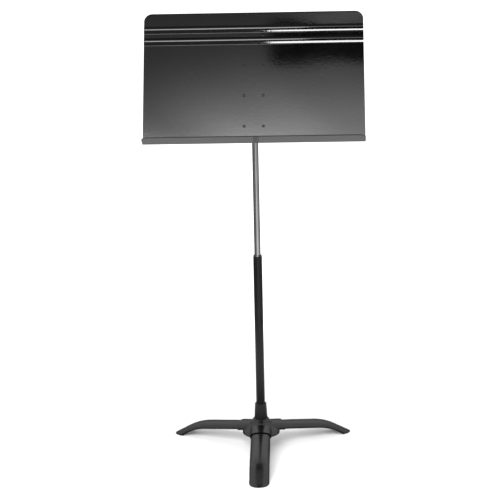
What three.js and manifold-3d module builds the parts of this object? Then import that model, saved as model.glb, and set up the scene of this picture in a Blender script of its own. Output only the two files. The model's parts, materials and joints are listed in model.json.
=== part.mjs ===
// Orchestral music stand: a three-legged steel base, a telescoping shaft that slides and turns
// in a friction clutch, and a sheet-metal desk with a shelf that tilts on a pivot bolt.
// Millimetres, +Z up, the front of the desk towards -Y. The origin is on the floor at the centre
// of the footprint.
import * as THREE from "three";
import { mergeVertices } from "three/addons/utils/BufferGeometryUtils.js";
import Module from "manifold-3d";

const wasm = await Module();
wasm.setup();

// ---- driving dimensions ----
const GAP = 0.3; // between pieces that touch
const ROUND_SIDES = 36;
const SMALL_SIDES = 14;
const SHAFT_SETBACK = 56; // from the footprint's centre back to the shaft's axis

// Desk. Its own frame has the tilt pivot at the origin, Z up the panel and -Y out of the front.
const DESK_WIDTH = 508;
const DESK_HEIGHT = 317.5; // along the panel, from the shelf to the top edge
const SHELF_DEPTH = 51;
const DESK_SHEET = 1.5;
const DESK_CORNER = 19;
const CREASE_RADIUS = 3;
const RIB_CRESTS_BELOW_TOP = [66.3, 37.5];
const RIB_LOWER_FLANK = 12.5;
const RIB_UPPER_FLANK = 6;
const RIB_RISE = 3;
const DESK_TILT = THREE.MathUtils.degToRad(30); // leaning back from upright, at rest
const PIVOT_HEIGHT = 861.5;
const PIVOT_TO_FRONT = 31; // from the pivot's axis to the panel's front face
const PIVOT_ABOVE_SHELF = 116;

// Rivets through the panel and the bracket's flanges.
const RIVET_HEIGHTS = [40, 114, 186, 261]; // above the shelf
const RIVET_SIDE = 22;
const RIVET_SHANK = 1.9;
const RIVET_HEAD = 2.9;
const RIVET_CROWN = 0.3; // proud of the panel
const RIVET_TAIL = 3.2;

// Bracket: a hat-section channel whose back web is cut away where the shaft swings.
const BRACKET_LENGTH = 250;
const BRACKET_ABOVE_SHELF = 18;
const BRACKET_SHEET = 2;
const BRACKET_FLANGE = 32; // half width over the flanges
const BRACKET_WALL = 16; // half width over the side walls
const BRACKET_CROWN_FROM = 45; // above the pivot, where the back web starts
const BRACKET_CROWN_DEPTH = 20; // of the channel above the pivot, from the panel
const EAR_RADIUS = 12;

// Pivot
const BOLT_RADIUS = 3;
const BOLT_HEAD_ACROSS = 10;
const BOLT_HEAD_THICK = 4;
const NUT_THICK = 5;
const WASHER_RADIUS = 7;
const WASHER_THICK = 1.2;
const SPRING_WASHER_RADIUS = 5.4;
const SPRING_WASHER_THICK = 1.6;
const DISC_RADIUS = 10;
const DISC_THICK = 1.5;
const NECK_RADIUS = 11;
const NECK_LENGTH = 38; // from the pivot's axis down to the end of its socket

// Shaft
const SHAFT_RADIUS = 7.3;
const SHAFT_WALL = 1.2;
const SHAFT_TOP_BELOW_PIVOT = 12;
const SHAFT_BOTTOM = 163;
const GUIDE_RADIUS = 9;
const GUIDE_LENGTH = 30;
const PLUG_FLANGE = 3;

// Outer tube and clutch
const TUBE_RADIUS = 10.45;
const TUBE_WALL = 1.15;
const TUBE_BOTTOM = 50;
const TUBE_TOP = 484;
const COLLET_LENGTH = 34;
const COLLET_SLOT = 1.6;
const CAP_HEIGHT = 5;
const CAP_SPIGOT = 4;

// Base
const SOCKET_BOTTOM = 44;
const SOCKET_CONE_FROM = 82;
const SOCKET_TOP = 118;
const SOCKET_RADIUS = 15.5;
const SOCKET_TOP_RADIUS = 13.7;
const LEG_ANGLES = { front: -90, right: 30, left: 150 };
const LEG_HALF_WIDTH = 23.5;
const LEG_HEIGHT = 14.5;
const LEG_SHEET = 2.2;
const LEG_START = 17; // from the shaft's axis
const LEG_START_HEIGHT = 68.4; // of the ridge
const LEG_SLOPE = THREE.MathUtils.degToRad(9.8);
const LEG_BEND_FROM = 152;
const LEG_BEND_TO = 208;
const LEG_FOOT_SLOPE = THREE.MathUtils.degToRad(31.5);
const LEG_ROUNDNESS = 2.3; // exponent of the arched section's superellipse
const HUB_SHEET = 2.2;
const HUB_REACH = 58; // of the lobes along the legs
const HUB_SKIRT_RADIUS = 46;
const HUB_BOTTOM = 43;
const HUB_COLLAR_TOP = 80;
const GLIDE_FROM = 217;
const GLIDE_TO = 241;

// ---- materials ----
function finish(colour, roughness, metalness) {
  return () => new THREE.MeshStandardMaterial({ color: colour, roughness, metalness });
}
const blackEnamel = finish(0x1c1d1f, 0.35, 0.2);
const deskEnamel = finish(0x2b2d30, 0.45, 0.3);
const chrome = finish(0xc9ccd0, 0.12, 1);
const zincSteel = finish(0x9a9c9f, 0.4, 1);
const nylon = finish(0x26282a, 0.6, 0);

// ---- solids ----
// A closed geometry as a manifold-3d solid.
function solid(geometry) {
  const plain = geometry.index ? geometry.toNonIndexed() : geometry.clone();
  plain.deleteAttribute("normal");
  plain.deleteAttribute("uv");
  const merged = mergeVertices(plain, 1e-4);
  const corners = merged.index.array;
  const kept = [];
  for (let i = 0; i < corners.length; i += 3) {
    const [a, b, c] = corners.slice(i, i + 3);
    if (a !== b && b !== c && c !== a) kept.push(a, b, c);
  }
  return new wasm.Manifold(
    new wasm.Mesh({
      numProp: 3,
      vertProperties: merged.attributes.position.array,
      triVerts: new Uint32Array(kept),
    }),
  );
}

function surface(manifold) {
  const { vertProperties, triVerts } = manifold.getMesh();
  const geometry = new THREE.BufferGeometry();
  geometry.setAttribute("position", new THREE.BufferAttribute(vertProperties, 3));
  geometry.setIndex(new THREE.BufferAttribute(triVerts, 1));
  geometry.computeVertexNormals();
  return geometry;
}

function piece(name, manifold, material) {
  const mesh = new THREE.Mesh(surface(manifold), material());
  mesh.name = name;
  return mesh;
}

function points2(pairs) {
  return pairs.map(([a, b]) => new THREE.Vector2(a, b));
}

// Turned about Z from [radius, z] pairs, which start and end on the axis or close on themselves.
function turned(pairs, sides = ROUND_SIDES) {
  const profile = points2(pairs);
  if (THREE.ShapeUtils.area(profile) < 0) profile.reverse();
  return solid(new THREE.LatheGeometry(profile, sides).rotateX(Math.PI / 2));
}

function ring(inner, outer, bottom, top, sides = ROUND_SIDES) {
  return turned(
    [[inner, bottom], [outer, bottom], [outer, top], [inner, top], [inner, bottom]],
    sides,
  );
}

// A cylinder along Z, or turned about X after zToX.
function rod(radius, bottom, top, sides = ROUND_SIDES) {
  return turned([[0, bottom], [radius, bottom], [radius, top], [0, top]], sides);
}

function transformed(manifold, matrix) {
  return solid(surface(manifold).applyMatrix4(matrix));
}

function zToX(manifold) {
  return transformed(manifold, new THREE.Matrix4().makeRotationY(Math.PI / 2));
}

function zToY(manifold) {
  return transformed(manifold, new THREE.Matrix4().makeRotationX(-Math.PI / 2));
}

function moved(manifold, x, y, z) {
  return transformed(manifold, new THREE.Matrix4().makeTranslation(x, y, z));
}

function turnedBy(manifold, degrees) {
  const angle = THREE.MathUtils.degToRad(degrees);
  return transformed(manifold, new THREE.Matrix4().makeRotationZ(angle));
}

function block(low, high) {
  const size = high.map((value, i) => value - low[i]);
  const centre = high.map((value, i) => (value + low[i]) / 2);
  return solid(new THREE.BoxGeometry(...size).translate(...centre));
}

function union(solids) {
  return solids.reduce((sum, each) => sum.add(each));
}

// An outline of [y, z] pairs made solid from -halfWidth to +halfWidth along X.
function prismAlongX(pairs, halfWidth) {
  const shape = new THREE.Shape(points2(pairs));
  const geometry = new THREE.ExtrudeGeometry(shape, { depth: 2 * halfWidth, bevelEnabled: false });
  const axes = new THREE.Matrix4().makeBasis(
    new THREE.Vector3(0, 1, 0),
    new THREE.Vector3(0, 0, 1),
    new THREE.Vector3(1, 0, 0),
  );
  return solid(geometry.applyMatrix4(axes).translate(-halfWidth, 0, 0));
}

// A shape drawn in X and Z made solid from the front plane to the back plane along Y.
function prismAlongY(shape, front, back) {
  const geometry = new THREE.ExtrudeGeometry(shape, {
    depth: back - front,
    bevelEnabled: false,
    curveSegments: 8,
  });
  const axes = new THREE.Matrix4().makeBasis(
    new THREE.Vector3(1, 0, 0),
    new THREE.Vector3(0, 0, 1),
    new THREE.Vector3(0, -1, 0),
  );
  return solid(geometry.applyMatrix4(axes).translate(0, back, 0));
}

// A rectangle of the desk's width, whose two corners on the high side are rounded.
function roundedSlab(low, high) {
  const half = DESK_WIDTH / 2;
  const shape = new THREE.Shape();
  shape.moveTo(-half, low);
  shape.lineTo(half, low);
  shape.absarc(half - DESK_CORNER, high - DESK_CORNER, DESK_CORNER, 0, Math.PI / 2);
  shape.absarc(DESK_CORNER - half, high - DESK_CORNER, DESK_CORNER, Math.PI / 2, Math.PI);
  return shape;
}

// ---- desk ----
const deskTop = DESK_HEIGHT - PIVOT_ABOVE_SHELF;
const shelfTop = -PIVOT_ABOVE_SHELF;
const panelFront = -PIVOT_TO_FRONT;
const panelBack = panelFront + DESK_SHEET;
const shelfFront = panelFront - SHELF_DEPTH;
const bracketFront = panelBack + GAP;
const flangeBack = bracketFront + BRACKET_SHEET;

// One face of the bent sheet, from the shelf's front edge to the panel's top edge.
// The offset moves it from the front face towards the back one.
function deskFace(offset) {
  const y = panelFront + offset;
  const pairs = [[shelfFront, shelfTop - offset]];
  const bendSteps = 6;
  const radius = CREASE_RADIUS + offset;
  for (let i = 0; i <= bendSteps; i++) {
    const turn = (i / bendSteps) * (Math.PI / 2);
    const along = panelFront - CREASE_RADIUS + radius * Math.sin(turn);
    pairs.push([along, shelfTop + CREASE_RADIUS - radius * Math.cos(turn)]);
  }
  const flankSteps = 5;
  for (const below of RIB_CRESTS_BELOW_TOP) {
    for (let i = -flankSteps; i <= flankSteps; i++) {
      const across = i / flankSteps;
      const flank = i < 0 ? RIB_LOWER_FLANK : RIB_UPPER_FLANK;
      const rise = (RIB_RISE * (1 + Math.cos(Math.PI * across))) / 2;
      pairs.push([y - rise, deskTop - below + flank * across]);
    }
  }
  pairs.push([y, deskTop]);
  return pairs;
}

function deskPanel() {
  const sheet = prismAlongX([...deskFace(0), ...deskFace(DESK_SHEET).reverse()], DESK_WIDTH / 2);
  const clear = 20;
  const front = shelfFront - clear;
  const panelCut = prismAlongY(roundedSlab(shelfTop - clear, deskTop), front, clear);
  // The same slab laid flat, its rounded corners at the shelf's front edge.
  const shelfSlab = prismAlongY(roundedSlab(-clear, -shelfFront), shelfTop - clear, deskTop + clear);
  const laidFlat = new THREE.Matrix4().makeRotationX(Math.PI / 2);
  const shelfCut = transformed(shelfSlab, laidFlat);
  const holes = rivetPlaces().map(([x, z]) =>
    moved(zToY(rivetSeat(clear)), x, panelFront, z),
  );
  return sheet.intersect(panelCut).intersect(shelfCut).subtract(union(holes));
}

function rivetPlaces() {
  return RIVET_HEIGHTS.flatMap((height) =>
    [-1, 1].map((side) => [side * RIVET_SIDE, height - PIVOT_ABOVE_SHELF]),
  );
}

// Countersunk head, slightly crowned, then the shank and the upset tail behind the flange.
function rivet() {
  const tailBase = flangeBack + GAP;
  const profile = [
    [0, panelFront - RIVET_CROWN],
    [RIVET_HEAD * 0.6, panelFront - RIVET_CROWN * 0.7],
    [RIVET_HEAD, panelFront],
    [RIVET_SHANK, panelFront + RIVET_HEAD - RIVET_SHANK],
    [RIVET_SHANK, tailBase],
    [RIVET_TAIL, tailBase],
    [RIVET_TAIL, tailBase + 1.2],
    [RIVET_TAIL * 0.7, tailBase + 1.7],
    [0, tailBase + 1.7],
  ];
  return zToY(turned(profile, SMALL_SIDES));
}

// What a rivet's head and shank need cleared in the panel, along Z from the panel's front face.
function rivetSeat(clear) {
  const shank = RIVET_SHANK + GAP;
  const head = RIVET_HEAD + GAP * Math.SQRT2;
  return turned(
    [[0, -clear], [head, -clear], [head, 0], [shank, head - shank], [shank, clear], [0, clear]],
    SMALL_SIDES,
  );
}

function deskBracket() {
  const bottom = BRACKET_ABOVE_SHELF - PIVOT_ABOVE_SHELF;
  const top = bottom + BRACKET_LENGTH;
  const crownBack = panelBack + BRACKET_CROWN_DEPTH;
  const wallInside = BRACKET_WALL - BRACKET_SHEET;
  const side = [
    [bracketFront, bottom],
    [bracketFront + 12, bottom],
    [-4, -40],
    [EAR_RADIUS, -EAR_RADIUS],
    ...earArc(),
    [crownBack, BRACKET_CROWN_FROM - 10],
    [crownBack, top],
    [bracketFront, top],
  ];
  const channel = prismAlongX(side, BRACKET_WALL);
  const flanges = block([-BRACKET_FLANGE, bracketFront, bottom], [BRACKET_FLANGE, flangeBack, top]);
  const belowCrown = block(
    [-wallInside, bracketFront - 1, bottom - 1],
    [wallInside, EAR_RADIUS + 10, BRACKET_CROWN_FROM],
  );
  const insideCrown = block(
    [-wallInside, bracketFront - 1, BRACKET_CROWN_FROM - 1],
    [wallInside, crownBack - BRACKET_SHEET, top + 1],
  );
  const boltHole = zToX(rod(BOLT_RADIUS + GAP, -40, 40, SMALL_SIDES));
  const holes = rivetPlaces().map(([x, z]) =>
    moved(zToY(rod(RIVET_SHANK + GAP, -8, 8, SMALL_SIDES)), x, bracketFront, z),
  );
  return channel.add(flanges).subtract(union([belowCrown, insideCrown, boltHole, ...holes]));
}

// The back of each ear, round the pivot from below it to above it.
function earArc() {
  const steps = 8;
  return Array.from({ length: steps + 1 }, (_, i) => {
    const turn = (i / steps) * 0.75 * Math.PI - Math.PI / 4;
    return [EAR_RADIUS * Math.cos(turn), EAR_RADIUS * Math.sin(turn)];
  }).slice(1);
}

function hexPrism(across, left, right) {
  const radius = across / Math.sqrt(3);
  return zToX(rod(radius, left, right, 6));
}

function pivotPieces() {
  const wall = BRACKET_WALL;
  const washerIn = wall + GAP;
  const washerOut = washerIn + WASHER_THICK;
  const springIn = washerOut + GAP;
  const springOut = springIn + SPRING_WASHER_THICK;
  const nutIn = springOut + GAP;
  const nutOut = nutIn + NUT_THICK;
  const headIn = washerOut + GAP;
  const bore = BOLT_RADIUS + GAP;
  const threadPastNut = 2;
  const shank = zToX(rod(BOLT_RADIUS, -headIn - 1, nutOut + threadPastNut, SMALL_SIDES));
  const bolt = shank.add(
    hexPrism(BOLT_HEAD_ACROSS, -headIn - BOLT_HEAD_THICK, -headIn),
  );
  const nut = hexPrism(BOLT_HEAD_ACROSS, nutIn, nutOut).subtract(
    zToX(rod(bore, nutIn - 1, nutOut + 1, SMALL_SIDES)),
  );
  const washer = (from, to, radius) => zToX(ring(bore, radius, from, to, 32));
  const spring = washer(springIn, springOut, SPRING_WASHER_RADIUS).subtract(
    block([springIn - 1, bore - 1, -0.6], [springOut + 1, SPRING_WASHER_RADIUS + 1, 0.6]),
  );
  const discIn = wall - BRACKET_SHEET - GAP - DISC_THICK;
  return {
    desk: [
      piece("pivot_bolt", bolt, zincSteel),
      piece("pivot_nut", nut, zincSteel),
      piece("pivot_washer_left", washer(-washerOut, -washerIn, WASHER_RADIUS), zincSteel),
      piece("pivot_washer_right", washer(washerIn, washerOut, WASHER_RADIUS), zincSteel),
      piece("spring_washer", spring, zincSteel),
    ],
    neck: [
      piece("friction_disc_left", washer(-discIn - DISC_THICK, -discIn, DISC_RADIUS), nylon),
      piece("friction_disc_right", washer(discIn, discIn + DISC_THICK, DISC_RADIUS), nylon),
    ],
    neckHalfWidth: discIn - GAP,
  };
}

// The block on the shaft's top end that the pivot bolt passes through.
function neckHead(halfWidth) {
  const boss = zToX(rod(NECK_RADIUS, -halfWidth, halfWidth));
  const sleeve = rod(NECK_RADIUS, -NECK_LENGTH, 0);
  const bore = rod(SHAFT_RADIUS + GAP, -NECK_LENGTH - 1, GAP - SHAFT_TOP_BELOW_PIVOT);
  const boltHole = zToX(rod(BOLT_RADIUS + GAP, -40, 40, SMALL_SIDES));
  return boss.add(sleeve).subtract(bore).subtract(boltHole);
}

// ---- shaft ----
function innerShaft() {
  const top = PIVOT_HEIGHT - SHAFT_TOP_BELOW_PIVOT;
  return ring(SHAFT_RADIUS - SHAFT_WALL, SHAFT_RADIUS, SHAFT_BOTTOM, top);
}

function shaftGuide() {
  const bottom = SHAFT_BOTTOM + GAP;
  return ring(SHAFT_RADIUS + GAP, GUIDE_RADIUS, bottom, bottom + GUIDE_LENGTH);
}

// Closes the shaft's lower end, and its flange keeps the guide on.
function shaftPlug() {
  const top = SHAFT_BOTTOM - GAP;
  const spigot = SHAFT_RADIUS - SHAFT_WALL - GAP;
  const profile = [
    [0, top - PLUG_FLANGE],
    [GUIDE_RADIUS - 0.8, top - PLUG_FLANGE],
    [GUIDE_RADIUS - 0.4, top - PLUG_FLANGE + 0.5],
    [GUIDE_RADIUS - 0.4, top],
    [spigot, top],
    [spigot, SHAFT_BOTTOM + 12],
    [spigot - 1, SHAFT_BOTTOM + 13],
    [0, SHAFT_BOTTOM + 13],
  ];
  return turned(profile);
}

// ---- outer tube and clutch ----
function outerTube() {
  return ring(TUBE_RADIUS - TUBE_WALL, TUBE_RADIUS, TUBE_BOTTOM, TUBE_TOP);
}

function clutchCollet() {
  const top = TUBE_TOP - CAP_SPIGOT - GAP;
  const bottom = top - COLLET_LENGTH;
  const slot = block(
    [-COLLET_SLOT / 2, 0, bottom - 1],
    [COLLET_SLOT / 2, TUBE_RADIUS, top + 1],
  );
  return ring(SHAFT_RADIUS + GAP, GUIDE_RADIUS, bottom, top).subtract(slot);
}

// A rounded shoulder on the end of the tube, with a spigot inside it.
function clutchCap() {
  const bore = SHAFT_RADIUS + GAP;
  const seat = TUBE_TOP + GAP;
  const top = seat + CAP_HEIGHT;
  const rounding = 2.4;
  const profile = [[bore, seat - CAP_SPIGOT], [GUIDE_RADIUS, seat - CAP_SPIGOT], [GUIDE_RADIUS, seat]];
  profile.push([TUBE_RADIUS, seat]);
  const steps = 6;
  for (let i = 0; i <= steps; i++) {
    const turn = (i / steps) * (Math.PI / 2);
    profile.push([
      TUBE_RADIUS - rounding + rounding * Math.cos(turn),
      top - rounding + rounding * Math.sin(turn),
    ]);
  }
  profile.push([bore, top], [bore, seat - CAP_SPIGOT]);
  return turned(profile);
}

// ---- base ----
// The upper tapered sleeve that grips the outer tube, with a lip under the tube's end.
function hubSocket() {
  const bore = TUBE_RADIUS + GAP;
  const lip = TUBE_RADIUS - TUBE_WALL;
  return turned([
    [lip, SOCKET_BOTTOM],
    [SOCKET_RADIUS, SOCKET_BOTTOM],
    [SOCKET_RADIUS, SOCKET_CONE_FROM],
    [SOCKET_TOP_RADIUS, SOCKET_TOP - 1],
    [SOCKET_TOP_RADIUS - 1, SOCKET_TOP],
    [bore, SOCKET_TOP],
    [bore, TUBE_BOTTOM - GAP],
    [lip, TUBE_BOTTOM - GAP],
    [lip, SOCKET_BOTTOM],
  ]);
}

// Half a superellipse as [side, drop] pairs, from one lower edge over the ridge to the other.
function arch(halfWidth, ridgeDrop, edgeDrop) {
  const steps = 16;
  return Array.from({ length: steps + 1 }, (_, i) => {
    const turn = (i / steps) * Math.PI;
    const side = Math.abs(Math.cos(turn)) ** (2 / LEG_ROUNDNESS) * Math.sign(Math.cos(turn));
    const rise = Math.abs(Math.sin(turn)) ** (2 / LEG_ROUNDNESS);
    return [halfWidth * side, edgeDrop - (edgeDrop - ridgeDrop) * rise];
  });
}

// The same arch with upright sides carried down to a drop of deep.
function deepArch(halfWidth, ridgeDrop, deep) {
  return [[halfWidth, deep], ...arch(halfWidth, ridgeDrop, LEG_HEIGHT), [-halfWidth, deep]];
}

// The ridge of a leg from the hub to below the floor, as {out, up, slope} stations.
function legStations(from, to) {
  const bendStart = LEG_START_HEIGHT - (LEG_BEND_FROM - LEG_START) * Math.tan(LEG_SLOPE);
  const stations = [];
  const straight = (out) => ({
    out,
    up: LEG_START_HEIGHT - (out - LEG_START) * Math.tan(LEG_SLOPE),
    slope: LEG_SLOPE,
  });
  stations.push(straight(from));
  if (to <= LEG_BEND_FROM) return [...stations, straight(to)];
  const bendSteps = 9;
  // An arc tangent to both slopes: its radius from the run between its ends.
  const radius =
    (LEG_BEND_TO - LEG_BEND_FROM) / (Math.sin(LEG_FOOT_SLOPE) - Math.sin(LEG_SLOPE));
  for (let i = 0; i <= bendSteps; i++) {
    const slope = LEG_SLOPE + ((LEG_FOOT_SLOPE - LEG_SLOPE) * i) / bendSteps;
    stations.push({
      out: LEG_BEND_FROM + radius * (Math.sin(slope) - Math.sin(LEG_SLOPE)),
      up: bendStart - radius * (Math.cos(LEG_SLOPE) - Math.cos(slope)),
      slope,
    });
  }
  const last = stations.at(-1);
  const run = to - last.out;
  stations.push({ out: to, up: last.up - run * Math.tan(LEG_FOOT_SLOPE), slope: LEG_FOOT_SLOPE });
  return stations;
}

// Sweeps a closed outline of [side, drop] pairs along stations in the plane of X and Z.
function swept(pairs, stations) {
  const outline = THREE.ShapeUtils.area(points2(pairs)) > 0 ? pairs : [...pairs].reverse();
  const positions = [];
  for (const { out, up, slope } of stations)
    for (const [side, drop] of outline)
      positions.push(out - drop * Math.sin(slope), side, up - drop * Math.cos(slope));
  const count = outline.length;
  const faces = [];
  for (let s = 0; s + 1 < stations.length; s++)
    for (let i = 0; i < count; i++) {
      const a = s * count + i;
      const b = s * count + ((i + 1) % count);
      faces.push(a, b + count, b, a, a + count, b + count);
    }
  const end = (stations.length - 1) * count;
  for (const [a, b, c] of THREE.ShapeUtils.triangulateShape(points2(outline), [])) {
    faces.push(a, b, c);
    faces.push(end + a, end + c, end + b);
  }
  const geometry = new THREE.BufferGeometry();
  geometry.setAttribute("position", new THREE.Float32BufferAttribute(positions, 3));
  geometry.setIndex(faces);
  return solid(geometry);
}

const aboveFloor = block([-10, -60, 0], [400, 60, 200]);
const LEG_PAST_FLOOR = 300;
const DEEP = 60; // below a leg's ridge, for solids that are cut off at the floor or only cut with

function leg(angle) {
  const outer = arch(LEG_HALF_WIDTH, 0, LEG_HEIGHT);
  const inner = arch(LEG_HALF_WIDTH - LEG_SHEET, LEG_SHEET, LEG_HEIGHT);
  const channel = swept([...outer, ...inner.reverse()], legStations(LEG_START, LEG_PAST_FLOOR));
  return turnedBy(channel.intersect(aboveFloor), angle);
}

// A plug inside the foot end of a leg, flat on the floor.
function footGlide(angle) {
  const fit = LEG_SHEET + GAP;
  const filling = deepArch(LEG_HALF_WIDTH - fit, fit, DEEP);
  const inside = swept(filling, legStations(LEG_START, LEG_PAST_FLOOR));
  return turnedBy(inside.intersect(block([GLIDE_FROM, -60, 0], [GLIDE_TO, 60, 40])), angle);
}

// A pressed cover: three lobes over the legs' inner ends, joined by a skirt.
function baseHub() {
  const margin = GAP + HUB_SHEET;
  const lobe = deepArch(LEG_HALF_WIDTH + margin, -margin, LEG_HEIGHT + 1);
  const passage = deepArch(LEG_HALF_WIDTH + GAP, -GAP, DEEP);
  const angles = Object.values(LEG_ANGLES);
  const lobes = angles.map((a) => turnedBy(swept(lobe, legStations(0, HUB_REACH)), a));
  const passages = angles.map((a) => turnedBy(swept(passage, legStations(0, HUB_REACH + 20)), a));
  const collar = SOCKET_RADIUS + GAP;
  const skirt = turned([
    [0, HUB_BOTTOM],
    [HUB_SKIRT_RADIUS, HUB_BOTTOM],
    [HUB_SKIRT_RADIUS - 3, HUB_BOTTOM + 7],
    [collar + 6, HUB_COLLAR_TOP - 10],
    [collar + 2, HUB_COLLAR_TOP],
    [0, HUB_COLLAR_TOP],
  ]);
  const hollow = turned([
    [0, HUB_BOTTOM - 20],
    [HUB_SKIRT_RADIUS - HUB_SHEET, HUB_BOTTOM - 20],
    [HUB_SKIRT_RADIUS - HUB_SHEET, HUB_BOTTOM],
    [HUB_SKIRT_RADIUS - HUB_SHEET - 3, HUB_BOTTOM + 6],
    [collar + 4, HUB_COLLAR_TOP - 14],
    [0, HUB_COLLAR_TOP - 14],
  ]);
  const hole = rod(collar, 0, 200);
  const body = union([...lobes, skirt]).subtract(union([...passages, hollow, hole]));
  return body.intersect(rod(HUB_REACH, HUB_BOTTOM, 200));
}

// ---- assembly ----
function basePieces() {
  const pieces = [piece("base_hub", baseHub(), blackEnamel)];
  pieces.push(piece("hub_socket", hubSocket(), blackEnamel));
  for (const [side, angle] of Object.entries(LEG_ANGLES)) {
    pieces.push(piece(`leg_${side}`, leg(angle), blackEnamel));
    pieces.push(piece(`foot_glide_${side}`, footGlide(angle), nylon));
  }
  pieces.push(piece("outer_tube", outerTube(), blackEnamel));
  pieces.push(piece("clutch_collet", clutchCollet(), nylon));
  pieces.push(piece("clutch_cap", clutchCap(), blackEnamel));
  return pieces;
}

function deskPieces() {
  const pieces = [piece("desk_panel", deskPanel(), deskEnamel)];
  pieces.push(piece("desk_bracket", deskBracket(), deskEnamel));
  const names = RIVET_HEIGHTS.flatMap((_, row) => [`rivet_left_${row + 1}`, `rivet_right_${row + 1}`]);
  const shape = rivet();
  rivetPlaces().forEach(([x, z], i) => {
    const made = piece(names[i], shape, deskEnamel);
    made.position.set(x, 0, z);
    pieces.push(made);
  });
  return pieces;
}

function buildStand() {
  const stand = new THREE.Group();
  stand.position.y = SHAFT_SETBACK;
  stand.add(...basePieces());
  stand.add(piece("inner_shaft", innerShaft(), chrome));
  stand.add(piece("shaft_guide", shaftGuide(), nylon));
  stand.add(piece("shaft_plug", shaftPlug(), nylon));

  const pivot = pivotPieces();
  const neck = new THREE.Group();
  neck.position.z = PIVOT_HEIGHT;
  neck.add(piece("neck_head", neckHead(pivot.neckHalfWidth), zincSteel), ...pivot.neck);

  const desk = new THREE.Group();
  desk.position.z = PIVOT_HEIGHT;
  desk.rotation.x = -DESK_TILT;
  desk.add(...deskPieces(), ...pivot.desk);
  stand.add(neck, desk);
  return stand;
}

const musicStand = new THREE.Group();
musicStand.add(buildStand());

export default musicStand;
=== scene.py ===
"""Orchestral music stand: fine meshes, finishes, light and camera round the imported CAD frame.

Metres, +Z up, the front of the desk towards -Y, in the CAD model's own frame.
"""

import json
import math

import bmesh
import bpy
from mathutils import Matrix, Vector

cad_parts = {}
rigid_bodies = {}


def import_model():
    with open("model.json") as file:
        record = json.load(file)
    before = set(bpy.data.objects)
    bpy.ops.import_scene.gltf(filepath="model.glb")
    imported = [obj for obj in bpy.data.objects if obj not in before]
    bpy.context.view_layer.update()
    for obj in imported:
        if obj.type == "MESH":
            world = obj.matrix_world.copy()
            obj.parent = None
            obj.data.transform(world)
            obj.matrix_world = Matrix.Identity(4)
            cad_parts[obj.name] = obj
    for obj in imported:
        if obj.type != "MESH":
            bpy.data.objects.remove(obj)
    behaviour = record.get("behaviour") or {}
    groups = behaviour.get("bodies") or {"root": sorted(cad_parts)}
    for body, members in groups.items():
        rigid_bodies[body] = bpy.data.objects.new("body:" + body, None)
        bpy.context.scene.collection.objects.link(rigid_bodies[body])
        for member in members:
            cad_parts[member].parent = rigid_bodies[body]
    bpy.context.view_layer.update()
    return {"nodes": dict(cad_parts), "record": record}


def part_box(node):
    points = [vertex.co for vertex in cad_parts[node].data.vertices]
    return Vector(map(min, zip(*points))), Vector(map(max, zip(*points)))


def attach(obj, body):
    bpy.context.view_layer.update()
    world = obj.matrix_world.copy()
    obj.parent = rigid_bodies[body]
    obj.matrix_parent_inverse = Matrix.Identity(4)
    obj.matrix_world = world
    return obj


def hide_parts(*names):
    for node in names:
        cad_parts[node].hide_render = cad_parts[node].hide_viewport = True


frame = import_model()

# ---- where things are, from the frame ----
MM = 0.001
JOINTS = {j["name"]: j for j in frame["record"]["behaviour"]["joints"]}
MOUNTS = {m["name"]: m for m in frame["record"]["mounts"]}
PIVOT = Vector(JOINTS["desk_tilt"]["pos_m"])
SHAFT_Y = PIVOT.y
DESK_OUT = Vector(MOUNTS["desk_face"]["axis"])
DESK_UP = Vector(MOUNTS["shelf_face"]["axis"])
PANEL_FRONT = -(Vector(MOUNTS["desk_face"]["pos_m"]) - PIVOT).dot(DESK_OUT)
SHELF_TOP = (Vector(MOUNTS["shelf_face"]["pos_m"]) - PIVOT).dot(DESK_UP)
DESK_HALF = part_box("desk_panel")[1].x

# The desk's own frame: X across, Y out of the back, Z up the panel, and the pivot at its origin.
DESK = Matrix.Translation(PIVOT) @ Matrix(
    ((1, -DESK_OUT.x, DESK_UP.x), (0, -DESK_OUT.y, DESK_UP.y), (0, -DESK_OUT.z, DESK_UP.z))
).to_4x4()
NECK = Matrix.Translation(PIVOT)
AXIS = Matrix.Translation((0, SHAFT_Y, 0))
Z_TO_X = Matrix.Rotation(math.pi / 2, 4, "Y")
Z_TO_Y = Matrix.Rotation(-math.pi / 2, 4, "X")

# ---- sizes of the real pieces ----
SHEET = 1.5 * MM
SHELF_DEPTH = 51 * MM
PANEL_HEIGHT = 317.5 * MM
PANEL_TOP = SHELF_TOP + PANEL_HEIGHT
CORNER = 19 * MM
CREASE = 3 * MM
RIB_CRESTS_BELOW_TOP = (66.3 * MM, 37.5 * MM)
RIB_LOWER_FLANK = 12.5 * MM
RIB_UPPER_FLANK = 6 * MM
RIB_RISE = 3 * MM
RIB_SKEW = 0.7  # the flanks bend more sharply at the foot than at the crest
NEXT = 0.25 * MM  # the rows beside a bend, which keep the flats' shading flat
ROW_SPACING = 9 * MM
FLANK_STEPS = 24
NEAR_ZERO = 0.001  # where a flank's slope has no value of its own
RIVET_HEIGHTS = (40 * MM, 114 * MM, 186 * MM, 261 * MM)
RIVET_SIDE = 22 * MM
RIVET_HEAD = 2.9 * MM
RIVET_CROWN = 0.3 * MM
RIVET_SHANK = 1.9 * MM
BRACKET_SHEET = 2 * MM
BRACKET_HALF = 16 * MM
BOLT_RADIUS = 3 * MM
BOLT_HOLE = 3.3 * MM
SHAFT_WALL = 1.2 * MM
SHAFT_HOLE = 7.6 * MM
TUBE_WALL = 1.15 * MM
IN_TUBE = 9 * MM  # the outer radius of what fits in the outer tube
LEGS = {"front": -90, "right": 30, "left": 150}
LEG_HALF = 23.5 * MM
LEG_HEIGHT = 14.5 * MM
LEG_SHEET = 2.2 * MM
LEG_START = 17 * MM
LEG_START_HEIGHT = 68.4 * MM
LEG_SLOPE = math.radians(9.8)
FOOT_SLOPE = math.radians(31.5)
BEND_FROM = 152 * MM
BEND_TO = 208 * MM
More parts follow.
